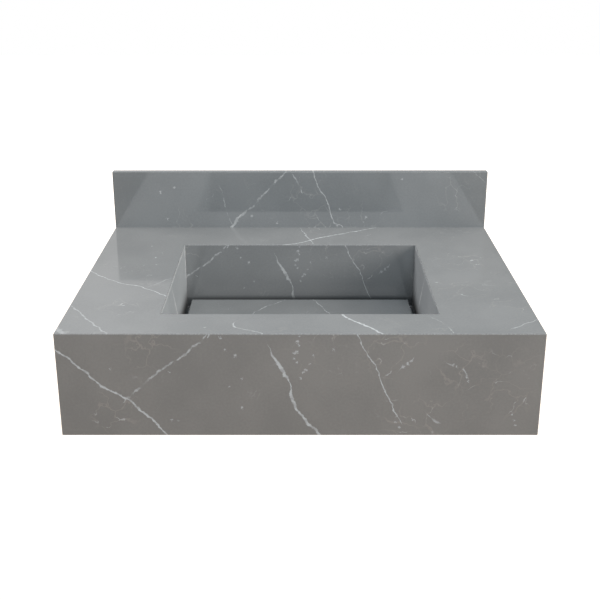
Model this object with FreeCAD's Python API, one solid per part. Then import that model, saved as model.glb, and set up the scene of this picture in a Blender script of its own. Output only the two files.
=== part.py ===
import FreeCAD, Part
import os
from math import cos, pi, sin, sqrt

# Wall-hung stone vanity top with a hidden-drain basin, in millimetres.
# The wall is the plane y = 0, the deck's top face is z = 0, and the front looks along -y.
# Slabs of sintered stone are mitred together at 45 degrees, so no cut edge shows.

V = FreeCAD.Vector

# Stone box: deck and aprons
top_width = 650.0
top_depth = 500.0
apron_height = 150.0
slab = 12.0
arris = 0.8

# Backsplash
splash_height = 100.0
splash_slab = 12.0

# Basin, measured between the faces that show
basin_width = 384.0
basin_length = 314.0
front_land = 72.0
floor_slab = 20.0
ledge_width = 34.0
floor_fall = 7.0
drain_flat = 80.0

# Loose cover that hides the drain, with the slot that the water runs down
cover_slab = 12.0
cover_drop = 94.0
slot_width = 9.0
foot_diameter = 18.0
foot_height = 6.0
foot_inset = 14.0
foot_clearance = 0.2

# Stone strips bonded under the deck, and the glue beads in the inside corners
rail_width = 56.0
rail_slab = 12.0
rail_end_margin = 20.0
rear_rail_setback = 30.0
rear_rail_clearance = 4.0
glue_leg = 8.0
seal_leg = 3.0

# Basin waste
waste_bore = 28.0
body_diameter = 42.0
body_length = 50.0
body_hole_clearance = 2.0
flange_diameter = 66.0
flange_thickness = 3.0
flange_edge = 1.2
flange_recess_clearance = 1.0
gasket_thickness = 1.0
strainer_diameter = 36.0
strainer_thickness = 2.0
strainer_ledge = 1.5
strainer_slot_width = 3.6
strainer_slot_pitch = 6.0
strainer_slot_pairs = 2
strainer_rim = 4.0
funnel_depth = 9.0
seal_ring_diameter = 62.0
seal_ring_taper = 4.0
seal_ring_thickness = 6.0
friction_ring_diameter = 58.0
friction_ring_thickness = 1.5
nut_across_flats = 56.0
nut_thickness = 12.0
nut_corner_bevel = 2.0
tail_diameter = 31.75
tail_length = 90.0
tail_spigot_diameter = 31.0
tail_spigot_length = 14.0
tail_end_bevel = 0.6
tail_socket_spare = 1.0
thread_clearance = 0.05

# Wall brackets of folded flat bar with a welded web
bracket_width = 50.0
bar_thickness = 6.0
bend_radius = 6.0
bar_corner_radius = 8.0
pad_thickness = 2.0
arm_tip_setback = 40.0
leg_foot_setback = 10.0
web_thickness = 5.0
web_cope = 20.0
web_nose = 8.0
web_tip_setback = 90.0
web_foot_setback = 10.0
wall_hole_diameter = 9.0
wall_hole_edge = 10.0
wall_hole_drop = 32.0
wall_hole_rise = 22.0

# Levels
cover_bottom = -cover_drop - cover_slab
ledge_level = cover_bottom - foot_height
drain_level = ledge_level - floor_fall
floor_bottom = ledge_level - floor_slab
rail_bottom = -slab - rail_slab
arm_top = rail_bottom - pad_thickness
arm_bottom = arm_top - bar_thickness
leg_bottom = -apron_height + leg_foot_setback

# Places in plan
half_width = top_width / 2
basin_half = basin_width / 2
basin_front = -top_depth + front_land
basin_back = basin_front + basin_length
basin_centre = (basin_front + basin_back) / 2
side_centre = (basin_half + half_width) / 2
arm_tip = -top_depth + slab + arm_tip_setback
drain_axis = V(0, basin_centre, 0)

# How far a cutting tool runs past the face that it cuts, and how near counts as touching
overrun = 1.0
touching = 1e-6


def polyhedron(faces):
    """A solid from flat faces, each a list of its corners."""
    shell = Part.Shell([Part.Face(Part.makePolygon(corners + corners[:1])) for corners in faces])
    solid = Part.Solid(shell)
    if solid.Volume < 0:
        solid.reverse()
    return solid


def six_sided(near, far):
    """A solid between two four-cornered faces, listed in the same order."""
    sides = [[near[i], near[(i + 1) % 4], far[(i + 1) % 4], far[i]] for i in range(4)]
    return polyhedron([near, far] + sides)


def level_rectangle(x0, x1, y0, y1, z):
    return [V(x0, y0, z), V(x1, y0, z), V(x1, y1, z), V(x0, y1, z)]


def box(x0, x1, y0, y1, z0, z1):
    return Part.makeBox(x1 - x0, y1 - y0, z1 - z0, V(x0, y0, z0))


def basin_rectangle(margin, z):
    """The basin's outline in plan, grown by a margin, at one level."""
    return level_rectangle(
        -basin_half - margin, basin_half + margin, basin_front - margin, basin_back + margin, z
    )


def basin_taper(margin_low, z_low, margin_high, z_high):
    """A block with the basin's outline that flares from one margin to another."""
    return six_sided(basin_rectangle(margin_low, z_low), basin_rectangle(margin_high, z_high))


def bevelled(solid, size, hidden_planes):
    """Breaks every edge of a block, apart from those that lie in a hidden plane."""

    def is_hidden(edge):
        middle = edge.CenterOfMass
        ends = [vertex.Point for vertex in edge.Vertexes] + [middle]
        return any(
            all(abs(getattr(point, axis) - place) < touching for point in ends)
            for axis, place in hidden_planes
        )

    return solid.makeChamfer(size, [edge for edge in solid.Edges if not is_hidden(edge)])


def revolved(profile, axis_point):
    """Turns a closed (radius, height) outline about a vertical axis."""
    points = [axis_point + V(radius, 0, height) for radius, height in profile]
    face = Part.Face(Part.makePolygon(points + points[:1]))
    return face.revolve(axis_point, V(0, 0, 1), 360)


def cylinder(diameter, z0, z1, centre):
    return Part.makeCylinder(diameter / 2, z1 - z0, V(centre.x, centre.y, z0))


def ring(outside, inside, z0, z1, centre):
    return cylinder(outside, z0, z1, centre).cut(
        cylinder(inside, z0 - overrun, z1 + overrun, centre)
    )


def hexagon(across_flats, z0, z1, centre):
    radius = across_flats / 2 / cos(pi / 6)
    corners = [
        V(centre.x + radius * cos(i * pi / 3), centre.y + radius * sin(i * pi / 3), z0)
        for i in range(6)
    ]
    return Part.Face(Part.makePolygon(corners + corners[:1])).extrude(V(0, 0, z1 - z0))


# Stone box
# Deck, front apron and side aprons meet at 45 degrees along the corners that show.
# The whole box has its sharp corners broken at once, so both sides of a mitre match.


def mitred_panel(start, end, inward, foot, grow_start, grow_end):
    """An upright slab whose face runs from start to end at the deck's top.

    Its hidden face lies one slab inward and starts one slab lower. Each end of the hidden
    face grows by a slab (1), shrinks by a slab (-1) or stays square (0).
    """
    along = (end - start).normalize()
    drop = V(0, 0, -slab)
    hidden_start = start + inward * slab - along * (slab * grow_start) + drop
    hidden_end = end + inward * slab + along * (slab * grow_end) + drop

    def down(point):
        return V(point.x, point.y, foot)

    return six_sided(
        [start, end, down(end), down(start)],
        [hidden_start, hidden_end, down(hidden_end), down(hidden_start)],
    )


def make_outer_block():
    block = box(-half_width, half_width, -top_depth, 0, -apron_height, 0)
    return bevelled(block, arris, [("y", 0)])


def make_basin_lip():
    """The flare that breaks the deck's edge round the basin."""
    return basin_taper(0, -arris, arris + overrun, overrun)


def make_deck():
    top = level_rectangle(-half_width, half_width, -top_depth, 0, 0)
    under = level_rectangle(-half_width + slab, half_width - slab, -top_depth + slab, 0, -slab)
    cut_out = basin_taper(slab + overrun, -slab - overrun, -overrun, overrun)
    return six_sided(top, under).cut(cut_out).cut(make_basin_lip()).common(make_outer_block())


def make_aprons():
    left_front = V(-half_width, -top_depth, 0)
    right_front = V(half_width, -top_depth, 0)
    left_rear = V(-half_width, 0, 0)
    right_rear = V(half_width, 0, 0)
    foot = -apron_height
    panels = {
        "front_apron": mitred_panel(left_front, right_front, V(0, 1, 0), foot, -1, -1),
        "left_apron": mitred_panel(left_front, left_rear, V(1, 0, 0), foot, -1, 0),
        "right_apron": mitred_panel(right_front, right_rear, V(-1, 0, 0), foot, -1, 0),
    }
    block = make_outer_block()
    return {name: panel.common(block) for name, panel in panels.items()}


def make_backsplash():
    upright = box(-half_width, half_width, -splash_slab, 0, 0, splash_height)
    return bevelled(upright, arris, [("y", 0), ("z", 0)])


# Basin
# Four walls hang from mitres round the deck's cut-out, and the floor is bonded between them.
# The floor is milled to four falls, which run from a level ledge down to a flat at the drain.


def make_basin_walls():
    front_left = V(-basin_half, basin_front, 0)
    front_right = V(basin_half, basin_front, 0)
    back_left = V(-basin_half, basin_back, 0)
    back_right = V(basin_half, basin_back, 0)
    panels = {
        "basin_front_wall": mitred_panel(front_left, front_right, V(0, -1, 0), floor_bottom, 1, 1),
        "basin_back_wall": mitred_panel(back_left, back_right, V(0, 1, 0), floor_bottom, 1, 1),
        "basin_left_wall": mitred_panel(front_left, back_left, V(-1, 0, 0), floor_bottom, 1, 1),
        "basin_right_wall": mitred_panel(front_right, back_right, V(1, 0, 0), floor_bottom, 1, 1),
    }
    lip = make_basin_lip()
    return {name: panel.cut(lip) for name, panel in panels.items()}


flange_bottom = drain_level - flange_thickness
recess_level = flange_bottom - gasket_thickness
waste_hole = body_diameter + 2 * body_hole_clearance


def make_basin_floor():
    block = box(-basin_half, basin_half, basin_front, basin_back, floor_bottom, ledge_level)
    flat = drain_flat / 2
    falls = six_sided(
        basin_rectangle(-ledge_width, ledge_level),
        level_rectangle(-flat, flat, basin_centre - flat, basin_centre + flat, drain_level),
    )
    recess_diameter = flange_diameter + 2 * flange_recess_clearance
    recess = cylinder(recess_diameter, recess_level, ledge_level, drain_axis)
    hole = cylinder(waste_hole, floor_bottom - overrun, ledge_level, drain_axis)
    return block.cut(falls).cut(recess).cut(hole)


# Cover
# A loose plate of the same stone stands on four feet and leaves a slot all round.


def make_cover():
    plate = box(
        -basin_half + slot_width,
        basin_half - slot_width,
        basin_front + slot_width,
        basin_back - slot_width,
        cover_bottom,
        -cover_drop,
    )
    return bevelled(plate, arris, [("z", cover_bottom)])


def make_cover_feet():
    inset = slot_width + foot_inset
    foot_bottom = ledge_level + foot_clearance
    feet = [
        cylinder(foot_diameter, foot_bottom, cover_bottom, V(x, y, 0))
        for x in (-basin_half + inset, basin_half - inset)
        for y in (basin_front + inset, basin_back - inset)
    ]
    return Part.makeCompound(feet)


# Strips and glue under the deck
# Stone strips double the deck where the brackets bear, and beads of glue fill the corners.


def make_side_rail(side):
    middle = side * side_centre
    return box(
        middle - rail_width / 2,
        middle + rail_width / 2,
        -top_depth + slab + rail_end_margin,
        -rail_end_margin,
        rail_bottom,
        -slab,
    )


def make_rear_rail():
    """A strip that fills the space between the basin's glue and the wall."""
    front = basin_back + slab + glue_leg + rear_rail_clearance
    return box(-basin_half, basin_half, front, -rear_rail_setback, rail_bottom, -slab)


def glue_bead(start, end, on_level, on_wall, leg, spread):
    """A three-cornered bead along an inside corner, with mitred ends.

    Its level face runs out along on_level and its other face along on_wall. The level
    face's far edge is longer than the corner by a leg at each end (1) or shorter (-1).
    """
    along = (end - start).normalize() * (leg * spread)
    out_start = start + on_level * leg - along
    out_end = end + on_level * leg + along
    wall_start = start + on_wall * leg
    wall_end = end + on_wall * leg
    return polyhedron(
        [
            [start, end, out_end, out_start],
            [start, end, wall_end, wall_start],
            [out_start, out_end, wall_end, wall_start],
            [start, out_start, wall_start],
            [end, out_end, wall_end],
        ]
    )


def corner_beads(corners, on_wall, leg, spread, sides=range(4)):
    """Beads along the sides of a rectangle in plan, outside it (spread 1) or inside (-1)."""
    middle = (corners[0] + corners[2]) / 2
    beads = []
    for i in sides:
        start = corners[i]
        end = corners[(i + 1) % 4]
        outward = ((start + end) / 2 - middle).normalize()
        beads.append(glue_bead(start, end, outward * spread, on_wall, leg, spread))
    return beads


def make_rim_glue():
    return Part.makeCompound(corner_beads(basin_rectangle(slab, -slab), V(0, 0, -1), glue_leg, 1))


def make_apron_glue():
    """Beads along the front and both sides, and one down each front corner."""
    inner = half_width - slab
    front = -top_depth + slab
    corners = level_rectangle(-inner, inner, front, 0, -slab)
    beads = corner_beads(corners, V(0, 0, -1), glue_leg, -1, sides=[0])
    for side in (-1, 1):
        corner = V(side * inner, front, -slab)
        rear = V(side * inner, 0, -slab)
        leg_x = V(-side * glue_leg, 0, 0)
        leg_y = V(0, glue_leg, 0)
        leg_z = V(0, 0, -glue_leg)
        beads.append(
            polyhedron(
                [
                    [corner, rear, rear + leg_x, corner + leg_x + leg_y],
                    [corner, rear, rear + leg_z, corner + leg_z],
                    [corner + leg_x + leg_y, rear + leg_x, rear + leg_z, corner + leg_z],
                    [corner, corner + leg_x + leg_y, corner + leg_z],
                    [rear, rear + leg_x, rear + leg_z],
                ]
            )
        )
        post = [corner + leg_z, corner + leg_z + leg_x, corner + leg_z + leg_y]
        post_drop = V(0, 0, -apron_height + slab + 2 * glue_leg)
        beads.append(Part.Face(Part.makePolygon(post + post[:1])).extrude(post_drop))
    return Part.makeCompound(beads)


def make_floor_seal():
    return Part.makeCompound(corner_beads(basin_rectangle(0, ledge_level), V(0, 0, 1), seal_leg, -1))


# Basin waste
# A flanged body drops through the floor, and a back nut pulls it down on a gasket.
# The tailpiece screws into the body's lower end, and a perforated plate covers the mouth.

body_bottom = flange_bottom - body_length
socket_top = body_bottom + tail_spigot_length + tail_socket_spare
strainer_level = drain_level - strainer_thickness
body_passage = body_diameter + 2 * thread_clearance


def make_waste_body():
    body = body_diameter / 2
    flange = flange_diameter / 2
    mouth = strainer_diameter / 2 + thread_clearance
    ledge = strainer_diameter / 2 - strainer_ledge
    bore = waste_bore / 2
    socket = tail_spigot_diameter / 2 + thread_clearance
    return revolved(
        [
            (socket, body_bottom),
            (body, body_bottom),
            (body, flange_bottom),
            (flange, flange_bottom),
            (flange, drain_level - flange_edge),
            (flange - flange_edge, drain_level),
            (mouth, drain_level),
            (mouth, strainer_level),
            (ledge, strainer_level),
            (bore, drain_level - funnel_depth),
            (bore, socket_top),
            (socket, socket_top),
        ],
        drain_axis,
    )


def make_strainer():
    """A disc with round-ended slots side by side, each as long as the rim lets it be."""
    plate = cylinder(strainer_diameter, strainer_level, drain_level, drain_axis)
    end_radius = strainer_slot_width / 2
    reach = strainer_diameter / 2 - strainer_rim - end_radius
    for i in range(-strainer_slot_pairs, strainer_slot_pairs + 1):
        x = i * strainer_slot_pitch
        half_run = sqrt(reach**2 - x**2)
        near = drain_axis + V(x, -half_run, 0)
        far = drain_axis + V(x, half_run, 0)
        for drill in (near, far):
            plate = plate.cut(
                cylinder(strainer_slot_width, strainer_level - overrun, drain_level + overrun, drill)
            )
        plate = plate.cut(
            box(
                x - end_radius,
                x + end_radius,
                near.y,
                far.y,
                strainer_level - overrun,
                drain_level + overrun,
            )
        )
    return plate


def make_flange_gasket():
    return ring(flange_diameter, waste_hole, recess_level, flange_bottom, drain_axis)


seal_ring_bottom = floor_bottom - seal_ring_thickness
friction_ring_bottom = seal_ring_bottom - friction_ring_thickness
nut_bottom = friction_ring_bottom - nut_thickness


def make_seal_ring():
    top = seal_ring_diameter / 2
    bottom = top - seal_ring_taper
    inside = body_passage / 2
    return revolved(
        [
            (inside, seal_ring_bottom),
            (bottom, seal_ring_bottom),
            (top, floor_bottom),
            (inside, floor_bottom),
        ],
        drain_axis,
    )


def make_friction_ring():
    return ring(
        friction_ring_diameter, body_passage, friction_ring_bottom, seal_ring_bottom, drain_axis
    )


def make_back_nut():
    """A hexagon nut with its corners turned off at both faces."""
    corner = nut_across_flats / 2 / cos(pi / 6)
    turned = revolved(
        [
            (0, nut_bottom),
            (corner - nut_corner_bevel, nut_bottom),
            (corner, nut_bottom + nut_corner_bevel),
            (corner, friction_ring_bottom - nut_corner_bevel),
            (corner - nut_corner_bevel, friction_ring_bottom),
            (0, friction_ring_bottom),
        ],
        drain_axis,
    )
    blank = hexagon(nut_across_flats, nut_bottom, friction_ring_bottom, drain_axis).common(turned)
    return blank.cut(
        cylinder(body_passage, nut_bottom - overrun, friction_ring_bottom + overrun, drain_axis)
    )


def make_tailpiece():
    bore = waste_bore / 2
    spigot = tail_spigot_diameter / 2
    outside = tail_diameter / 2
    tail_bottom = body_bottom - tail_length
    return revolved(
        [
            (bore, tail_bottom),
            (outside - tail_end_bevel, tail_bottom),
            (outside, tail_bottom + tail_end_bevel),
            (outside, body_bottom),
            (spigot, body_bottom),
            (spigot, body_bottom + tail_spigot_length),
            (bore, body_bottom + tail_spigot_length),
        ],
        drain_axis,
    )


# Wall brackets
# Flat bar is folded into an L, and a web is welded into the angle. The leg is bolted to the
# wall, and the arm carries the deck on a bed of silicone.


def make_bar(middle):
    """The folded bar, with the corners of both its ends rounded."""
    outer = bend_radius + bar_thickness
    bend_level = arm_top - outer
    diagonal = cos(pi / 4)
    left = middle - bracket_width / 2

    def at(y, z):
        return V(left, y, z)

    edges = [
        Part.LineSegment(at(arm_tip, arm_top), at(-outer, arm_top)),
        Part.Arc(
            at(-outer, arm_top),
            at(-outer + outer * diagonal, bend_level + outer * diagonal),
            at(0, bend_level),
        ),
        Part.LineSegment(at(0, bend_level), at(0, leg_bottom)),
        Part.LineSegment(at(0, leg_bottom), at(-bar_thickness, leg_bottom)),
        Part.LineSegment(at(-bar_thickness, leg_bottom), at(-bar_thickness, bend_level)),
        Part.Arc(
            at(-bar_thickness, bend_level),
            at(-outer + bend_radius * diagonal, bend_level + bend_radius * diagonal),
            at(-outer, arm_bottom),
        ),
        Part.LineSegment(at(-outer, arm_bottom), at(arm_tip, arm_bottom)),
        Part.LineSegment(at(arm_tip, arm_bottom), at(arm_tip, arm_top)),
    ]
    profile = Part.Wire([edge.toShape() for edge in edges])
    bar = Part.Face(profile).extrude(V(bracket_width, 0, 0))

    def is_end_corner(edge):
        place = edge.CenterOfMass
        at_side = abs(abs(place.x - middle) - bracket_width / 2) < touching
        at_tip = abs(place.y - arm_tip) < touching and abs(edge.Length - bar_thickness) < touching
        at_foot = abs(place.z - leg_bottom) < touching and abs(edge.Length - bar_thickness) < touching
        return at_side and (at_tip or at_foot)

    return bar.makeFillet(bar_corner_radius, [edge for edge in bar.Edges if is_end_corner(edge)])


def make_web(middle):
    left = middle - web_thickness / 2
    tip = arm_tip + web_tip_setback
    foot = leg_bottom + web_foot_setback
    outline = [
        V(left, -bar_thickness - web_cope, arm_bottom),
        V(left, tip, arm_bottom),
        V(left, tip, arm_bottom - web_nose),
        V(left, -bar_thickness - web_nose, foot),
        V(left, -bar_thickness, foot),
        V(left, -bar_thickness, arm_bottom - web_cope),
    ]
    return Part.Face(Part.makePolygon(outline + outline[:1])).extrude(V(web_thickness, 0, 0))


def make_bracket(side):
    middle = side * side_centre
    bracket = make_bar(middle).fuse(make_web(middle)).removeSplitter()
    reach = bracket_width / 2 - wall_hole_edge
    for x in (middle - reach, middle + reach):
        for z in (arm_top - wall_hole_drop, leg_bottom + wall_hole_rise):
            drill_start = V(x, -bar_thickness - overrun, z)
            drill_length = bar_thickness + 2 * overrun
            bracket = bracket.cut(
                Part.makeCylinder(wall_hole_diameter / 2, drill_length, drill_start, V(0, 1, 0))
            )
    return bracket


def make_bracket_pads():
    """Strips of silicone that bed the rails on the arms."""
    pads = []
    for side in (-1, 1):
        middle = side * side_centre
        pads.append(
            box(
                middle - bracket_width / 2,
                middle + bracket_width / 2,
                arm_tip,
                -rail_end_margin,
                arm_top,
                rail_bottom,
            )
        )
    return Part.makeCompound(pads)


def main():
    pieces = {
        "top_deck": make_deck(),
        "backsplash": make_backsplash(),
        "basin_floor": make_basin_floor(),
        "drain_cover": make_cover(),
        "cover_feet": make_cover_feet(),
        "left_rail": make_side_rail(-1),
        "right_rail": make_side_rail(1),
        "rear_rail": make_rear_rail(),
        "rim_glue": make_rim_glue(),
        "apron_glue": make_apron_glue(),
        "floor_seal": make_floor_seal(),
        "waste_body": make_waste_body(),
        "strainer_plate": make_strainer(),
        "flange_gasket": make_flange_gasket(),
        "seal_ring": make_seal_ring(),
        "friction_ring": make_friction_ring(),
        "back_nut": make_back_nut(),
        "tailpiece": make_tailpiece(),
        "left_bracket": make_bracket(-1),
        "right_bracket": make_bracket(1),
        "bracket_pads": make_bracket_pads(),
    }
    pieces.update(make_aprons())
    pieces.update(make_basin_walls())
    os.makedirs("parts", exist_ok=True)
    for name, shape in pieces.items():
        shape.exportStep("parts/" + name + ".step")


main()
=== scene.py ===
import math
import bpy
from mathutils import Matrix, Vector


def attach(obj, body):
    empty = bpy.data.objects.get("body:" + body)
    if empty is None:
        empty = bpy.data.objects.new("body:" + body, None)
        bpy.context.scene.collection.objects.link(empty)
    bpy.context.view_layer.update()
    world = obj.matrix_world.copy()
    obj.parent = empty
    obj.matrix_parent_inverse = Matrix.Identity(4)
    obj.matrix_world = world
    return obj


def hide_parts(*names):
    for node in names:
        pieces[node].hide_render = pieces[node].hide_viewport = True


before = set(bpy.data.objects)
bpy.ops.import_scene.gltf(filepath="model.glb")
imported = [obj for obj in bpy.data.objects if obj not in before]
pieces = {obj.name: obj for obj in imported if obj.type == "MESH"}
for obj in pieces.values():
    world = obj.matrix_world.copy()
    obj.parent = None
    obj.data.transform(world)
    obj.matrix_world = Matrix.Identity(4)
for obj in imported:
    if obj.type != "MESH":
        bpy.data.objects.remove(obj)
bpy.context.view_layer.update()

# Deck: a level slab of grey sintered stone with white veins, 12 mm thick and polished on top.
# It is sawn out for the basin, and its edges are cut at 45 degrees to meet the upright slabs,
# so that no raw edge shows.


def put(tree, kind, *feeds, out=0, **named):
    """Adds a node, and feeds its inputs from sockets or plain values, in order or by name."""
    node = tree.nodes.new("ShaderNode" + kind)
    inputs = dict(enumerate(feeds))
    for name, value in named.items():
        if name[0].isupper():
            inputs[name] = value
        else:
            setattr(node, name, value)
    for name, feed in inputs.items():
        if isinstance(feed, bpy.types.NodeSocket):
            tree.links.new(feed, node.inputs[name])
        elif feed is not None:
            node.inputs[name].default_value = feed
    return node.outputs[out]


def reckon(tree, operation, *feeds):
    return put(tree, "Math", *feeds, operation=operation)


def ease(tree, value, low, high, at_low=0.0, at_high=1.0):
    """Goes softly from one value to another while the input crosses a band."""
    return put(tree, "MapRange", value, low, high, at_low, at_high, interpolation_type="SMOOTHSTEP")


def tint(tree, share, first, second):
    """Goes from the first colour to the second by a share."""
    return put(tree, "Mix", share, None, None, None, None, None, first, second, data_type="RGBA", out=2)


def curve_of(tree, value, stops, bend="AUTO"):
    """A curve through (place, height) stops, both from 0 to 1, level beyond its ends."""
    node = tree.nodes.new("ShaderNodeFloatCurve")
    node.mapping.extend = "HORIZONTAL"
    points = node.mapping.curves[0].points
    points[0].location = stops[0]
    points[1].location = stops[-1]
    for place, height in stops[1:-1]:
        points.new(place, height)
    for point in points:
        point.handle_type = bend
    node.mapping.update()
    tree.links.new(value, node.inputs["Value"])
    return node.outputs[0]


def trace_vein(sheet, place, ragged, strength, route):
    """How strongly one vein shows at a place. Its route is a row of (across, up, width) in mm,
    and it thins out to nothing at both ends."""
    start = Vector(route[0][:2])
    run = Vector(route[-1][:2]) - start
    along = run.normalized()
    aside = Vector((-along.y, along.x))
    offsets = [(Vector(stop[:2]) - start).dot(aside) for stop in route]
    reach = max(abs(offset) for offset in offsets) + 1
    widest = max(stop[2] for stop in route)
    shares = [(Vector(stop[:2]) - start).dot(along) / run.length for stop in route]
    bends = [(share, 0.5 + offset / reach / 2) for share, offset in zip(shares, offsets)]
    widths = [(share, stop[2] / widest) for share, stop in zip(shares, route)]
    widths = [(0, 0.004), *widths[1:-1], (1, 0.004)]
    to_share = (*along / run.length, 0)
    share = put(sheet, "VectorMath", place, to_share, operation="DOT_PRODUCT", out=1)
    share = reckon(sheet, "SUBTRACT", share, start.dot(along) / run.length)
    middle = curve_of(sheet, share, bends)
    middle = reckon(sheet, "MULTIPLY_ADD", middle, 2 * reach, start.dot(aside) - reach)
    here = put(sheet, "VectorMath", place, (*aside, 0), operation="DOT_PRODUCT", out=1)
    distance = reckon(sheet, "ABSOLUTE", reckon(sheet, "SUBTRACT", here, middle))
    width = reckon(sheet, "MULTIPLY", curve_of(sheet, share, widths, "VECTOR"), ragged)
    spread = reckon(sheet, "DIVIDE", distance, width)
    return ease(sheet, spread, 0.25 * widest, 0.65 * widest, strength, 0)


def vein_sheet(name, routes, broken_routes, nests, grains):
    """The stone's pattern: a place on a slab's face in mm goes in, and how much of each mark
    lies there comes out. Nests of hair-thin veins and lone white grains are (across, up, radius)."""
    sheet = bpy.data.node_groups.new(name, "ShaderNodeTree")
    sheet.interface.new_socket("Place", in_out="INPUT", socket_type="NodeSocketVector")
    for mark in ("Vein", "Hair", "Cloud"):
        sheet.interface.new_socket(mark, in_out="OUTPUT", socket_type="NodeSocketFloat")
    place = sheet.nodes.new("NodeGroupInput").outputs["Place"]
    marks = sheet.nodes.new("NodeGroupOutput")
    middle_grey = (0.5, 0.5, 0.5)

    # The main veins wander a little on their routes, swell and thin out, and some are broken.
    wobble = put(sheet, "TexNoise", Vector=place, Scale=0.06, Detail=5.0, out=1)
    wobble = put(sheet, "VectorMath", wobble, middle_grey, operation="SUBTRACT")
    wandered = put(sheet, "VectorMath", wobble, (9, 9, 0), place, operation="MULTIPLY_ADD")
    grit = put(sheet, "TexNoise", Vector=place, Scale=0.2, Detail=6.0)
    ragged = put(sheet, "MapRange", grit, 0.3, 0.7, 0.3, 1.6)
    breaks = ease(sheet, put(sheet, "TexNoise", Vector=place, Scale=0.075, Detail=2.0), 0.40, 0.56, 0.1, 1)
    vein = None
    for group, gate in ((routes, None), (broken_routes, breaks)):
        for strength, route in group:
            trace = trace_vein(sheet, wandered, ragged, strength, route)
            if gate:
                trace = reckon(sheet, "MULTIPLY", trace, gate)
            vein = reckon(sheet, "MAXIMUM", vein, trace) if vein else trace
    faded = put(sheet, "TexNoise", Vector=place, Scale=0.12, Detail=4.0)
    vein = reckon(sheet, "MULTIPLY", vein, ease(sheet, faded, 0.36, 0.6, 0.5, 1))

    # Lone grains have ragged outlines.
    chipped = put(sheet, "TexNoise", Vector=place, Scale=0.45, Detail=3.0, out=1)
    chipped = put(sheet, "VectorMath", chipped, middle_grey, operation="SUBTRACT")
    chipped = put(sheet, "VectorMath", chipped, (8, 8, 0), wandered, operation="MULTIPLY_ADD")
    for across, up, radius in grains:
        away = put(sheet, "VectorMath", chipped, (across, up, 0), operation="DISTANCE", out=1)
        vein = reckon(sheet, "MAXIMUM", vein, ease(sheet, away, 0.3 * radius, 0.95 * radius, 0.6, 0))

    # Hair veins are a crazed net that shows only in the nests, with a few whiter ticks in it.
    crazed = put(sheet, "TexNoise", Vector=place, Scale=0.03, Detail=4.0, out=1)
    crazed = put(sheet, "VectorMath", crazed, middle_grey, operation="SUBTRACT")
    crazed = put(sheet, "VectorMath", crazed, (70, 70, 0), place, operation="MULTIPLY_ADD")
    net = put(sheet, "TexVoronoi", Vector=crazed, Scale=0.028, feature="DISTANCE_TO_EDGE")
    nest = ease(sheet, put(sheet, "TexNoise", Vector=place, Scale=0.011), 0.5, 0.7, 0, 0.5)
    for across, up, radius in nests:
        away = put(sheet, "VectorMath", place, (across, up, 0), operation="DISTANCE", out=1)
        nest = reckon(sheet, "MAXIMUM", nest, ease(sheet, away, radius, radius * 0.4))
    hair = reckon(sheet, "MULTIPLY", ease(sheet, net, 0.008, 0.03, 1, 0), nest)
    tick = ease(sheet, put(sheet, "TexNoise", Vector=crazed, Scale=0.07), 0.56, 0.68)
    tick = reckon(sheet, "MULTIPLY", reckon(sheet, "MULTIPLY", hair, tick), 0.6)
    vein = reckon(sheet, "MAXIMUM", vein, tick)
    cloud = put(sheet, "TexNoise", Vector=place, Scale=0.009, Detail=3.0)
    for mark, value in (("Vein", vein), ("Hair", hair), ("Cloud", cloud)):
        sheet.links.new(value, marks.inputs[mark])
    return sheet


def new_finish(name):
    """A new material, with its node tree and its shader."""
    finish = bpy.data.materials.new(name)
    finish.use_nodes = True
    return finish, finish.node_tree, finish.node_tree.nodes["Principled BSDF"]


def spot_in(tree):
    """The place on the object in metres, so that every pattern keeps its real size."""
    return tree.nodes.new("ShaderNodeTexCoord").outputs["Object"]


def lay_on(tree, shader, colour, gloss, relief=None, strength=0.0, depth=0.0):
    """Feeds a shader its colour and its roughness, and a bump of a depth in metres."""
    tree.links.new(colour, shader.inputs["Base Color"])
    tree.links.new(gloss, shader.inputs["Roughness"])
    if relief:
        bump = put(tree, "Bump", Strength=strength, Distance=depth, Height=relief)
        tree.links.new(bump, shader.inputs["Normal"])


def give_finish(finish, *names):
    for name in names:
        for slot in pieces[name].material_slots:
            slot.material = finish


stone_dark = (0.180, 0.181, 0.180, 1)
stone_light = (0.205, 0.205, 0.203, 1)
stone_hair = (0.25, 0.242, 0.233, 1)
stone_vein = (0.485, 0.488, 0.486, 1)
arris_painted_shade = (0.155, 0.155, 0.153, 1)
painted_shade_grey = (0.06, 0.061, 0.062, 1)
stone_back_dark = (0.20, 0.195, 0.188, 1)
stone_back_light = (0.27, 0.265, 0.257, 1)
plain_polish, sheen_range, vein_sheen = 0.06, 0.03, 0.04
stone_ior = 1.8
mm_per_m = 1000
rightward, inward, up = (mm_per_m, 0, 0), (0, mm_per_m, 0), (0, 0, mm_per_m)
cover_underside = -0.106


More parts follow.
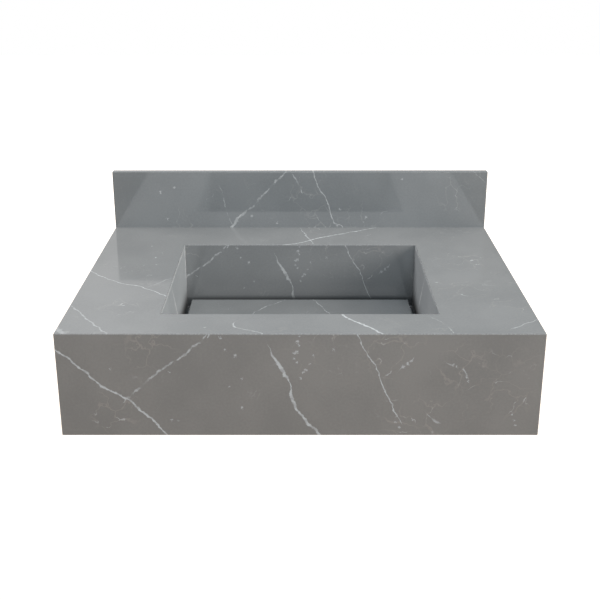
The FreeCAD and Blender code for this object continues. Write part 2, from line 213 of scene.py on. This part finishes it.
def stone_slab(
    name, sheet, across, upward, shift, hidden,
    polish=plain_polish, shade=(1, 1, 1), painted_shade_curve=None, vein_tone=stone_vein,
):
    """Dresses one slab in the stone's pattern. Across and upward turn its place to mm on the
    pattern's sheet, shift moves it along, and hidden is the way that its rough side faces.
    Shade scales the face's colour with painted light and shade, and a painted shade curve darkens
    the face, most at the cover's underside and fading up to the deck."""
    finish, tree, shader = new_finish("stone_" + name)
    spot = tree.nodes.new("ShaderNodeTexCoord").outputs
    column = put(tree, "VectorMath", spot["Object"], across, operation="DOT_PRODUCT", out=1)
    row = put(tree, "VectorMath", spot["Object"], upward, operation="DOT_PRODUCT", out=1)
    place = put(tree, "CombineXYZ", reckon(tree, "ADD", column, shift), row)
    pattern = tree.nodes.new("ShaderNodeGroup")
    pattern.node_tree = sheet
    tree.links.new(place, pattern.inputs["Place"])
    vein, hair, cloud = (pattern.outputs[mark] for mark in ("Vein", "Hair", "Cloud"))

    # The face that shows, and the ground side that is glued or left rough.
    mottle = put(tree, "TexNoise", Vector=place, Scale=0.3, Detail=4.0)
    depth = reckon(tree, "MULTIPLY_ADD", reckon(tree, "SUBTRACT", mottle, 0.5), 0.5, cloud)
    face = tint(tree, ease(tree, depth, 0.3, 0.7), stone_dark, stone_light)
    face = tint(tree, reckon(tree, "MULTIPLY", hair, 0.75), face, stone_hair)
    face = put(tree, "VectorMath", face, shade, operation="MULTIPLY")
    face = tint(tree, vein, face, vein_tone)
    # Painted shade, darkest at the cover's underside and fading up towards the deck.
    if painted_shade_curve:
        height = put(tree, "SeparateXYZ", spot["Object"], out=2)
        height = put(tree, "MapRange", height, cover_underside, 0, 0, 1)
        face = tint(tree, curve_of(tree, height, painted_shade_curve), face, painted_shade_grey)
    sawn = put(tree, "TexNoise", Vector=spot["Object"], Scale=300.0, Detail=6.0)
    back = tint(tree, ease(tree, sawn, 0.3, 0.7), stone_back_dark, stone_back_light)
    facing = put(tree, "VectorMath", spot["Normal"], hidden, operation="DOT_PRODUCT", out=1)
    rough = ease(tree, facing, 0.8, 0.95)

    # The broken edges are honed by hand, so they are duller than the polish. Their grey is darker than
    # the face's, painted shade that tones down the light that they catch.
    turned = put(tree, "VectorMath", spot["Normal"], operation="ABSOLUTE")
    turned = put(tree, "VectorMath", turned, (1, 1, 1), operation="DOT_PRODUCT", out=1)
    wear = ease(tree, sawn, 0.3, 0.6, 0.5, 1)
    arris = reckon(tree, "MULTIPLY", ease(tree, turned, 1.2, 1.35), wear)
    colour = tint(tree, rough, tint(tree, arris, face, arris_painted_shade), back)
    gloss = put(tree, "MapRange", cloud, 0.3, 0.7, polish, polish + sheen_range)
    gloss = reckon(tree, "MULTIPLY_ADD", vein, vein_sheen, gloss)
    gloss = reckon(tree, "MAXIMUM", gloss, reckon(tree, "MULTIPLY", arris, 0.3))
    gloss = reckon(tree, "MAXIMUM", gloss, reckon(tree, "MULTIPLY", rough, 0.8))
    relief = reckon(tree, "MULTIPLY", sawn, reckon(tree, "MAXIMUM", rough, 0.01))
    lay_on(tree, shader, colour, gloss, relief, strength=0.5, depth=0.0006)
    shader.inputs["IOR"].default_value = stone_ior
    give_finish(finish, name)


level_sheet = vein_sheet(
    "level_stone",
    routes=[
        (0.75, [(-345, -226, 1.5), (-325, -247, 2), (-280, -293, 1.8), (-228, -324, 2),
            (-195, -357, 2.2), (-180, -372, 1)]),
        (0.5, [(-330, -380, 2), (-312, -413, 2.6), (-288, -451, 2.4), (-256, -497, 2.6),
            (-240, -520, 2)]),
        (0.95, [(-40, -117, 1), (-15, -109, 2.8), (0, -103, 3), (32, -75, 3), (85, -43, 2.6),
            (138, -10, 2), (155, 2, 1)]),
        (0.85, [(40, -400, 1.5), (57, -428, 3), (68, -447, 3.6), (87, -469, 4), (107, -497, 3),
            (120, -516, 2)]),
        (0.62, [(278, -484, 1.2), (286, -479, 1.4), (302, -466, 2), (321, -451, 1.5), (345, -432, 1)]),
        (0.4, [(-345, -462, 4), (-326, -480, 8), (-314, -496, 9), (-300, -520, 4)]),
        (0.75, [(-1, -8, 1.2), (8, -50, 2.2), (18, -88, 2.6), (21, -114, 1)]),
        (0.75, [(-87, -452, 1), (-91, -464, 2.2), (-88, -474, 2.2), (-75, -483, 1.5),
            (-51, -497, 1.5), (-38, -508, 0.8)]),
    ],
    broken_routes=[
        (0.45, [(-228, -324, 1), (-214, -305, 1.6), (-201, -288, 1.4), (-190, -272, 0.6)]),
        (0.55, [(160, -404, 1), (173, -428, 1.6), (197, -472, 1.8), (202, -493, 1.6), (206, -516, 1)]),
        (0.55, [(-18, -112, 1), (-27, -126, 1.6), (-61, -163, 2), (-77, -190, 1.6), (-100, -236, 1)]),
        (0.6, [(18, -112, 1), (24, -126, 1.8), (44, -177, 2), (66, -236, 1.4), (70, -262, 1)]),
        (0.55, [(70, -258, 0.8), (66, -300, 1.8), (54, -345, 2), (42, -385, 1.8), (40, -404, 1)]),
        (0.5, [(-172, -248, 0.8), (-140, -290, 1.8), (-96, -318, 2.2), (-62, -362, 1.8),
            (-36, -416, 1)]),
    ],
    nests=[
        (255, -200, 60), (240, -330, 50), (295, -395, 40), (20, -30, 45), (-255, -400, 40),
    ],
    grains=[
        (-232, -180, 2), (-226, -216, 2), (-246, -120, 2), (205, -300, 2.5), (-128, -478, 2),
    ],
)
stone_slab("top_deck", level_sheet, rightward, inward, 0, hidden=(0, 0, -1))

# Aprons: three upright slabs of the same stone, which make the top look like a thick block.
# They are mitred to the deck and to each other, and glued from behind. They are cut from
# another sheet than the deck, and their veins are a touch cooler.

# Past 325 mm from the middle the routes are for the side aprons, past 1100 for the basin's sides.
upright_sheet = vein_sheet(
    "upright_stone",
    routes=[
        (0.9, [(-350, -5, 2), (-324, -23, 2.6), (-309, -34, 2.9), (-287, -55, 3.2), (-277, -67, 2.6),
            (-260, -78, 2.8), (-232, -96, 2.8), (-219, -108, 3), (-200, -127, 2.8), (-182, -148, 2.2),
            (-166, -170, 1.5)]),
        (0.88, [(-44, -12, 0.6), (-39, -25, 1.6), (-32, -40, 4), (-25, -50, 6), (-19, -60, 5.4),
            (-14, -70, 1.3), (-12, -80, 1.7), (-12, -88, 4), (-8, -99, 4.4), (-3, -112, 3.6),
            (8, -128, 4.1), (26, -148, 4.6), (45, -172, 2)]),
        (0.8, [(12, 125, 1), (22, 100, 1.8), (33, 71, 1.8), (45, 52, 1.6), (60, 10, 1.8), (74, 0, 1.7),
            (81, -16, 1.7), (100, -46, 1.7), (111, -76, 1.8), (130, -116, 1.7), (140, -133, 0.8)]),
        (0.8, [(-790, 10, 2), (-740, -22, 2.4), (-690, -68, 2.2), (-655, -92, 2.8), (-600, -125, 2.4),
            (-560, -165, 2)]),
        (0.8, [(520, 10, 1.6), (545, -25, 2.4), (556, -62, 3.4), (570, -92, 2), (590, -118, 2.4),
            (612, -165, 2)]),
        (0.5, [(168, -112, 0.6), (178, -122, 1.4), (184, -128, 4.5), (189, -131, 4), (194, -131, 1)]),
        (0.85, [(-100, 26, 1), (-107, 18, 4), (-114, 9, 6), (-118, 2, 5), (-122, -6, 1)]),
        # The next two are painted highlights, not veins: a light line along the side walls' rims and one
        # beside the left wall's rear corner, where those edges catch light.
        (0.75, [(1180, -1, 2), (1220, -1.5, 4), (1350, -1.5, 4.5), (1490, -1.5, 4), (1530, -1, 2)]),
        (0.9, [(1507, 10, 8), (1507, -14, 12), (1508, -36, 11), (1510, -56, 7), (1511, -74, 2)]),
        (0.75, [(1316, 6, 1), (1328, -12, 1.8), (1340, -27, 3), (1351, -39, 5.5), (1364, -54, 6.5),
            (1376, -70, 4), (1390, -88, 2), (1400, -106, 1)]),
    ],
    broken_routes=[
        (0.64, [(-5, 122, 2.2), (-24, 100, 3), (-47, 78, 3), (-63, 61, 3.4), (-83, 39, 3),
            (-104, 21, 4.2), (-120, 2, 2.6), (-146, -24, 3.1), (-176, -44, 2.6), (-195, -59, 3.1),
            (-211, -74, 2.6), (-229, -92, 3.8), (-240, -102, 2)]),
        (0.5, [(-139, 78, 0.8), (-136, 68, 1.4), (-128, 26, 1.5), (-122, 12, 1.4), (-112, 0, 0.8)]),
        (0.6, [(-16, 104, 1), (-12, 94, 2), (-7, 86, 2.4), (-3, 77, 2.6), (2, 66, 2), (6, 56, 1)]),
        (0.6, [(152, -32, 1), (146, -39, 3), (136, -49, 2), (131, -55, 1)]),
        (0.5, [(192, -40, 1), (202, -45, 2.4), (214, -49, 1.6), (222, -58, 2), (227, -68, 1)]),
        (0.5, [(290, 108, 1), (303, 96, 1.4), (323, 80, 1.5), (340, 66, 1)]),
        (0.5, [(-470, 8, 1), (-452, -40, 1.6), (-425, -88, 1.8), (-402, -160, 1.2)]),
        (0.5, [(725, 8, 1), (705, -48, 1.6), (690, -102, 1.5), (664, -160, 1)]),
    ],
    nests=[
        (120, -28, 50), (215, -48, 48), (178, -118, 42), (135, -128, 30), (-250, -112, 46),
        (-200, -20, 45), (280, -90, 45), (110, 20, 40), (270, 60, 40), (10, 60, 45), (40, 15, 40),
    ],
    grains=[
        (-99, -22, 2.4), (-86, -32, 2.8), (-253, -52, 2), (-78, -64, 2), (-95, -76, 2),
        (-77, -109, 2.6), (-165, -127, 1.8), (-174, -127, 2.2), (-175, -55, 2), (-105, -5, 2.2),
        (45, -22, 1.8), (-242, 63, 2.6), (-219, 72, 2.4), (-233, 15, 2.6), (-85, 21, 3), (-40, 9, 3),
        (176, 87, 2.6), (0, -3, 2), (-3, -11, 3), (-2, -15, 2.4), (-5, -25, 3.2), (-8, -27, 2.4),
        (-9, -35, 3), (-5, -41, 2.2), (7, -52, 2.6), (5, -56, 2.4), (1, -64, 2.4), (14, -44, 1.8),
        (17, -31, 1.8), (148, -38, 2.4), (142, -44, 3), (137, -49, 2.4), (203, -44, 2.4),
        (209, -47, 2.4), (223, -61, 2.2), (225, -67, 2), (289, -119, 2.2), (292, -128, 2.8),
        (293, -136, 2.2), (131, -131, 2.2), (135, -138, 2.8), (70, 34, 2.6), (116, 19, 2.6),
        (112, 10, 2.2), (66, 3, 3.2),
    ],
)
cool_vein = (0.455, 0.488, 0.518, 1)
outward = (0, -mm_per_m, 0)
side_shift = 825
stone_slab("front_apron", upright_sheet, rightward, up, 0, hidden=(0, 1, 0), vein_tone=cool_vein)
stone_slab("left_apron", upright_sheet, outward, up, -side_shift, hidden=(1, 0, 0), vein_tone=cool_vein)
stone_slab("right_apron", upright_sheet, inward, up, side_shift, hidden=(-1, 0, 0), vein_tone=cool_vein)

# Backsplash: an upright slab that stands on the deck's rear edge, against the wall.
# It is glued down, and all the edges that show are broken a little. Its grey is painted a touch
# cooler, as painted light of a cooler tint.
splash_painted_cool_light = (0.98, 1.02, 1.05)
stone_slab("backsplash", upright_sheet, rightward, up, 0, hidden=(0, 1, 0), shade=splash_painted_cool_light)

# Basin's walls: four slabs of the same stone that hang from mitres round the deck's cut-out.
# The long ones are polished and the side ones honed, with a painted highlight along the side rims.
# The side walls are painted paler and bluer and the long ones a little paler, as painted light,
# and all four have painted shade that darkens them towards the cover's level.
# Curves of painted shade for the side walls and for the long walls.
side_painted_shade = [(0, 1), (0.06, 1), (0.15, 0.75), (0.25, 0.35), (0.4, 0.04), (1, 0)]
cross_painted_shade = [(0, 1), (0.07, 1), (0.14, 0.4), (0.35, 0.2), (0.65, 0.06), (1, 0)]
# Painted light: the side walls' and the long walls' colours are scaled paler and bluer.
honed_polish, honed_painted_light, cross_painted_light = 0.45, (1.285, 1.335, 1.38), (1.06, 1.07, 1.08)
left_wall_shift, right_wall_shift = 1628, 1583
for name, rough_way in (("basin_front_wall", (0, -1, 0)), ("basin_back_wall", (0, 1, 0))):
    stone_slab(name, upright_sheet, rightward, up, 0, rough_way, shade=cross_painted_light, painted_shade_curve=cross_painted_shade)
for name, rough_way, shift in (
    ("basin_left_wall", (-1, 0, 0), left_wall_shift),
    ("basin_right_wall", (1, 0, 0), right_wall_shift),
):
    stone_slab(name, upright_sheet, inward, up, shift, rough_way, honed_polish, honed_painted_light, side_painted_shade)

# Basin's floor: a thicker slab with four falls milled into it, honed but not polished.
# It is set between the walls, and dark grey silicone seals its edges. The silicone's grey is
# partly its own and partly painted shade, darkened so that the slot reads dark.
floor_polish = 0.35
stone_slab("basin_floor", level_sheet, rightward, inward, 0, hidden=(0, 0, -1), polish=floor_polish)
silicone, tree, shader = new_finish("grey_silicone")
spot = spot_in(tree)
smear = put(tree, "TexNoise", Vector=spot, Scale=90.0, Detail=4.0)
# Partly painted shade: the silicone is darker than its own grey, so that the seal in the slot reads dark.
silicone_and_slot_shade = tint(tree, smear, (0.045, 0.045, 0.046, 1), (0.07, 0.07, 0.07, 1))
silicone_gloss = ease(tree, smear, 0.3, 0.7, 0.28, 0.42)
lay_on(tree, shader, silicone_and_slot_shade, silicone_gloss, smear, strength=0.4, depth=0.0008)
give_finish(silicone, "floor_seal", "bracket_pads")

# Drain cover: a loose plate of the same stone, polished on top, which hides the drain.
# It stands on four rubber feet, so water runs off its edges and under it. Its stone is painted
# a shade darker than the deck's, painted shade for where it lies down in the basin.
cover_painted_shade = (0.9, 0.905, 0.91)
stone_slab("drain_cover", level_sheet, rightward, inward, 0, hidden=(0, 0, -1), shade=cover_painted_shade)
rubber, tree, shader = new_finish("black_rubber")
spot = spot_in(tree)
bloom = put(tree, "TexNoise", Vector=spot, Scale=60.0, Detail=5.0)
skin = put(tree, "TexNoise", Vector=spot, Scale=2500.0, Detail=2.0)
rubber_black, rubber_grey = (0.012, 0.012, 0.012, 1), (0.032, 0.031, 0.030, 1)
rubber_colour = tint(tree, ease(tree, bloom, 0.35, 0.7), rubber_black, rubber_grey)
rubber_gloss = ease(tree, bloom, 0.3, 0.7, 0.5, 0.72)
lay_on(tree, shader, rubber_colour, rubber_gloss, skin, strength=0.25, depth=0.0002)
give_finish(rubber, "cover_feet", "flange_gasket", "seal_ring")

# Rails: strips sawn from the same slabs and left unpolished, glued under the deck.
# They stiffen it beside and behind the basin, and the side ones rest on the brackets.
sawn_stone, tree, shader = new_finish("sawn_stone")
spot = spot_in(tree)
grain = put(tree, "TexNoise", Vector=spot, Scale=420.0, Detail=6.0)
strokes = put(
    tree, "TexWave", Vector=spot, Scale=120.0, Distortion=1.5, Detail=2.0,
    bands_direction="DIAGONAL", out=1,
)
sawn_dark, sawn_light = (0.185, 0.181, 0.175, 1), (0.26, 0.256, 0.248, 1)
sawn_colour = tint(tree, ease(tree, grain, 0.3, 0.7), sawn_dark, sawn_light)
sawn_gloss = ease(tree, grain, 0.3, 0.7, 0.7, 0.9)
saw_marks = reckon(tree, "MULTIPLY_ADD", strokes, 0.3, grain)
lay_on(tree, shader, sawn_colour, sawn_gloss, saw_marks, strength=0.4, depth=0.0005)
give_finish(sawn_stone, "left_rail", "right_rail", "rear_rail")

# Glue: beads of grey epoxy that fill the inside corners behind the aprons' mitres and the rim's.
# It is trowelled in by hand, and sets with a dull shine.
stone_glue, tree, shader = new_finish("stone_glue")
spot = spot_in(tree)
trowel = put(tree, "TexNoise", Vector=spot, Scale=45.0, Detail=5.0, Distortion=0.6)
glue_colour = tint(tree, trowel, (0.20, 0.193, 0.182, 1), (0.30, 0.292, 0.278, 1))
glue_gloss = ease(tree, trowel, 0.3, 0.7, 0.3, 0.55)
lay_on(tree, shader, glue_colour, glue_gloss, trowel, strength=0.6, depth=0.0025)
give_finish(stone_glue, "rim_glue", "apron_glue")

# Waste: a chromed brass body with a slotted plate in its mouth, and a tailpiece below.
# The body hangs by its flange in the floor's recess, and the tailpiece screws into it.
chrome, tree, shader = new_finish("chromed_brass")
spot = spot_in(tree)
spots = put(tree, "TexNoise", Vector=spot, Scale=70.0, Detail=5.0)
chrome_colour = tint(tree, spots, (0.50, 0.505, 0.51, 1), (0.60, 0.605, 0.61, 1))
lay_on(tree, shader, chrome_colour, ease(tree, spots, 0.45, 0.75, 0.06, 0.2))
shader.inputs["Metallic"].default_value = 1.0
give_finish(chrome, "strainer_plate", "tailpiece")


def new_piece(name, points, faces, finish):
    """A piece that stays with the top, from points in mm. Edges over 35 degrees stay crisp."""
    mesh = bpy.data.meshes.new(name)
    mesh.from_pydata([[c / mm_per_m for c in point] for point in points], [], faces)
    mesh.shade_smooth()
    mesh.set_sharp_from_angle(angle=math.radians(35))
    mesh.materials.append(finish)
    piece = bpy.data.objects.new(name, mesh)
    bpy.context.scene.collection.objects.link(piece)
    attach(piece, "top")
    return piece


# The body's lower half carries the thread for the nut, 11 turns to the inch.
drain_x, drain_y = 0, -271
thread_top, thread_end, thread_pitch, thread_depth = -139.5, -171.2, 25.4 / 11, 1.0
body_radius, flange_radius, bore_radius, socket_radius = 21.0, 33, 14, 15.55
mouth_radius, seat_radius, mouth_bevel, flange_bevel = 18.05, 16.5, 0.65, 1.2
body_top, plate_seat, flange_bottom, bore_top, socket_top, body_end = -119, -121, -122, -128, -157, -172
turn_steps, rows_per_turn = 72, 8
thread_length = thread_top - thread_end
thread_rows = round(thread_length / thread_pitch * rows_per_turn)
thread_levels = [thread_end + thread_length * row / thread_rows for row in range(thread_rows + 1)]
body_section = [
    (socket_radius, body_end),
    (body_radius - thread_depth, body_end),
    *((body_radius, level) for level in thread_levels),
    (body_radius, flange_bottom),
    (flange_radius, flange_bottom),
    (flange_radius, body_top - flange_bevel),
    (flange_radius - flange_bevel, body_top),
    (mouth_radius + mouth_bevel, body_top),
    (mouth_radius, body_top - mouth_bevel),
    (mouth_radius, plate_seat),
    (seat_radius, plate_seat),
    (bore_radius, bore_top),
    (bore_radius, socket_top),
    (socket_radius, socket_top),
]
points = []
for step in range(turn_steps):
    turn = step / turn_steps
    for radius, level in body_section:
        if thread_end <= level < thread_top:
            groove = 0.5 - 0.5 * math.cos(math.tau * (level / thread_pitch - turn))
            radius -= thread_depth * groove * min(1, (thread_top - level) / thread_pitch)
        x = drain_x + radius * math.cos(math.tau * turn)
        y = drain_y + radius * math.sin(math.tau * turn)
        points.append((x, y, level))
count = len(body_section)
faces = []
for step in range(turn_steps):
    here, there = step * count, (step + 1) % turn_steps * count
    for i in range(count):
        j = (i + 1) % count
        faces.append((here + i, there + i, there + j, here + j))
threaded_body = new_piece("threaded_waste_body", points, faces, chrome)
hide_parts("waste_body")

# Back nut: a brass hexagon nut that pulls the body down, with a nylon ring on top of it.
# The ring lets the nut turn without dragging the rubber seal above.
brass, tree, shader = new_finish("turned_brass")
spot = spot_in(tree)
tarnish = put(tree, "TexNoise", Vector=spot, Scale=55.0, Detail=6.0)
brass_clean, brass_dull = (0.62, 0.43, 0.17, 1), (0.42, 0.29, 0.12, 1)
brass_colour = tint(tree, ease(tree, tarnish, 0.35, 0.7), brass_clean, brass_dull)
lay_on(tree, shader, brass_colour, ease(tree, tarnish, 0.3, 0.7, 0.22, 0.42))
shader.inputs["Metallic"].default_value = 1.0
give_finish(brass, "back_nut")
nylon, tree, shader = new_finish("white_nylon")
spot = spot_in(tree)
flow = put(tree, "TexNoise", Vector=spot, Scale=80.0, Detail=3.0)
nylon_colour = tint(tree, flow, (0.62, 0.61, 0.57, 1), (0.74, 0.73, 0.69, 1))
lay_on(tree, shader, nylon_colour, ease(tree, flow, 0.3, 0.7, 0.4, 0.55))
give_finish(nylon, "friction_ring")

# Brackets: flat steel bar folded to an L, with a web welded into the angle, powder coated.
# Each leg has four holes for wall bolts, and each arm carries a rail on a bed of silicone.
coated_steel, tree, shader = new_finish("powder_coated_steel")
spot = spot_in(tree)
peel = put(tree, "TexVoronoi", Vector=spot, Scale=900.0)
scuff = put(tree, "TexNoise", Vector=spot, Scale=40.0, Detail=6.0)
coat_black, coat_grey = (0.016, 0.016, 0.017, 1), (0.035, 0.035, 0.036, 1)
bare_steel = (0.12, 0.118, 0.115, 1)
coat_colour = tint(tree, ease(tree, scuff, 0.4, 0.75), coat_black, coat_grey)

# The coat is chipped along the bar's long edges.
bracket_middle, bar_half = 258.5, 25.0
off_middle = reckon(tree, "ABSOLUTE", put(tree, "SeparateXYZ", spot))
off_middle = reckon(tree, "SUBTRACT", off_middle, bracket_middle / mm_per_m)
off_middle = reckon(tree, "ABSOLUTE", off_middle)
near_edge = ease(tree, off_middle, (bar_half - 1.4) / mm_per_m, (bar_half - 0.2) / mm_per_m)
chips = ease(tree, put(tree, "TexNoise", Vector=spot, Scale=160.0, Detail=5.0), 0.54, 0.62)
worn = reckon(tree, "MULTIPLY", near_edge, chips)
coat_colour = tint(tree, worn, coat_colour, bare_steel)
coat_gloss = ease(tree, scuff, 0.3, 0.7, 0.38, 0.55)
lay_on(tree, shader, coat_colour, coat_gloss, peel, strength=0.2, depth=0.0003)
give_finish(coated_steel, "left_bracket", "right_bracket")

# Short runs of weld bead join each web to its bar, on both sides, under the same coat.
# They swell a fifth over a flat fillet, ripple along their length and thin out at both ends.
weld_leg, weld_swell, weld_ripple, weld_steps = 4.0, 0.2, 2.6, 5
weld_angles = [math.radians(90 * i / 6) for i in range(7)]
arm_level, leg_face, web_half = -32, -6, 2.5
arm_run, leg_run = 45, 28
weld_runs = [
    *(("arm", start, start + arm_run) for start in (-354, -192, -75)),
    *(("leg", start, start + leg_run) for start in (-128, -84)),
]
for bracket, middle in (("left_bracket", -bracket_middle), ("right_bracket", bracket_middle)):
    points, faces = [], []
    for side in (-1, 1):
        corner_x = middle + side * web_half
        for plate, start, end in weld_runs:
            stations = round((end - start) / weld_ripple * weld_steps)
            first = len(points)
            for station in range(stations + 1):
                run = start + (end - start) * station / stations
                crest = 0.86 + 0.14 * (station % weld_steps) / (weld_steps - 1)
                taper = min(1, 0.45 + 0.2 * min(station, stations - station))
                ring = [(0, 0)]
                for angle in weld_angles:
                    flat_fillet = weld_leg / (math.cos(angle) + math.sin(angle))
                    reach = flat_fillet * (1 + weld_swell * math.sin(2 * angle)) * crest * taper
                    ring.append((reach * math.cos(angle), reach * math.sin(angle)))
                for out, off in ring:
                    x = corner_x + side * out
                    if plate == "arm":
                        points.append((x, run, arm_level - off))
                    else:
                        points.append((x, leg_face - off, run))
            count = len(ring)
            for station in range(stations):
                here, there = first + station * count, first + (station + 1) * count
                for i in range(count):
                    j = (i + 1) % count
                    faces.append((here + i, here + j, there + j, there + i))
            faces.append(tuple(range(first + count - 1, first - 1, -1)))
            faces.append(tuple(range(first + stations * count, first + (stations + 1) * count)))
    new_piece(bracket + "_welds", points, faces, coated_steel)

# Studio: a pale floor far below the hung top, broad soft lamps at both sides, one high on the
# right and a small cool one over the basin. Grey cards that only the polish shows stand in
# for the walls and the floor of a darker room.
floor_level = -0.85
floor_reach = 9.0
white = (1, 1, 1, 1)


def level_corners(left, right, near, far, level):
    return [(left, near, level), (right, near, level), (right, far, level), (left, far, level)]


def flat_card(name, corners):
    mesh = bpy.data.meshes.new(name)
    mesh.from_pydata(corners, [], [(0, 1, 2, 3)])
    card = bpy.data.objects.new(name, mesh)
    bpy.context.scene.collection.objects.link(card)
    return card


def shows_background(tree):
    """1 for the rays that should meet a white background, and 0 for those that carry light."""
    ray = tree.nodes.new("ShaderNodeLightPath").outputs
    seen = reckon(tree, "MAXIMUM", ray["Is Camera Ray"], ray["Is Glossy Ray"])
    return reckon(tree, "MAXIMUM", seen, ray["Is Transmission Ray"])


floor_spread = (-floor_reach, floor_reach, -floor_reach, floor_reach)
floor = flat_card("floor", level_corners(*floor_spread, floor_level))
floor_finish, tree, shader = new_finish("pale_floor")
floor_cream = (0.8, 0.70, 0.62, 1)
near_glow, far_glow = 0.38, 0.9
shader.inputs["Base Color"].default_value = floor_cream
shader.inputs["Roughness"].default_value = 1.0
shader.inputs["Specular IOR Level"].default_value = 0.0
shader.inputs["Emission Color"].default_value = white
spot = spot_in(tree)
away = put(tree, "VectorMath", spot, (0, 0, floor_level), operation="DISTANCE", out=1)
glow = ease(tree, away, 0.8, 3.0, near_glow, far_glow)
glow = reckon(tree, "MULTIPLY", shows_background(tree), glow)
tree.links.new(glow, shader.inputs["Emission Strength"])
from_below = tree.nodes.new("ShaderNodeNewGeometry").outputs["Backfacing"]
open_below = put(tree, "MixShader", from_below, shader.outputs[0], put(tree, "BsdfTransparent"))
tree.links.new(open_below, tree.nodes["Material Output"].inputs["Surface"])
floor.data.materials.append(floor_finish)

world = bpy.data.worlds.new("white_studio")
bpy.context.scene.world = world
world.use_nodes = True
tree = world.node_tree
ambient = 0.3
backdrop = tree.nodes["Background"]
backdrop.inputs["Color"].default_value = white
seen = shows_background(tree)
tree.links.new(put(tree, "MapRange", seen, 0, 1, ambient, 1.0), backdrop.inputs["Strength"])


def soft_lamp(name, place, aim, size, power, colour):
    """A square lamp that lights the top, but shows neither in the picture nor in the polish."""
    lamp = bpy.data.lights.new(name, "AREA")
    lamp.size = size
    lamp.energy = power
    lamp.color = colour
    holder = bpy.data.objects.new(name, lamp)
    holder.location = place
    holder.rotation_euler = (Vector(aim) - Vector(place)).to_track_quat("-Z", "Y").to_euler()
    holder.visible_camera = holder.visible_glossy = False
    bpy.context.scene.collection.objects.link(holder)


top_middle = (0, -0.25, -0.05)
soft_lamp("right_lamp", (8.4, -3.75, 4.05), top_middle, 4.8, 985, (1.0, 0.98, 0.95))
soft_lamp("left_lamp", (-8.4, 1.5, 4.3), top_middle, 4.8, 620, (1.0, 0.98, 0.98))
soft_lamp("high_lamp", (5.8, -0.9, 6.8), top_middle, 4.0, 250, (1.0, 0.96, 0.88))
soft_lamp("top_lamp", (0.12, -0.75, 1.1), (0, -0.1, 0), 0.8, 11.9, (0.74, 0.88, 0.98))


def shade_card(name, corners, tone, right_tone=None, fade=(0, 0)):
    """A grey card that only the polish shows, in one tone or fading to another on its right."""
    card = flat_card(name, corners)
    card.visible_camera = card.visible_diffuse = False
    card.visible_transmission = card.visible_shadow = False
    finish, tree, shader = new_finish(name)
    tree.nodes.remove(shader)
    if right_tone:
        across = put(tree, "SeparateXYZ", spot_in(tree))
        tone = tint(tree, ease(tree, across, *fade), tone, right_tone)
    tree.links.new(put(tree, "Emission", tone), tree.nodes["Material Output"].inputs["Surface"])
    card.data.materials.append(finish)


rear_corners = [(-3.5, 2.2, -0.8), (3.5, 2.2, -0.8), (3.5, 2.2, 3.2), (-3.5, 2.2, 3.2)]
shade_card("rear_card", rear_corners, (0.67, 0.67, 0.67, 1), (0.245, 0.25, 0.25, 1), fade=(-1.0, 0.1))
shade_card("low_card", level_corners(*floor_spread, floor_level + 0.005), (0.25, 0.245, 0.24, 1))
front_corners = level_corners(-2.5, 2.5, -4.6, -1.1, floor_level + 0.01)
shade_card("front_card", front_corners, (0.06, 0.057, 0.055, 1))

camera = bpy.data.objects.new("camera", bpy.data.cameras.new("camera"))
looks_down = 20.742
camera.data.lens = 60.94
camera.data.sensor_width = 36.0
camera.location = (0, -1.7331, 0.5148)
camera.rotation_euler = (math.radians(90 - looks_down), 0, 0)
bpy.context.scene.collection.objects.link(camera)
bpy.context.scene.camera = camera
bpy.context.scene.view_settings.view_transform = "Standard"
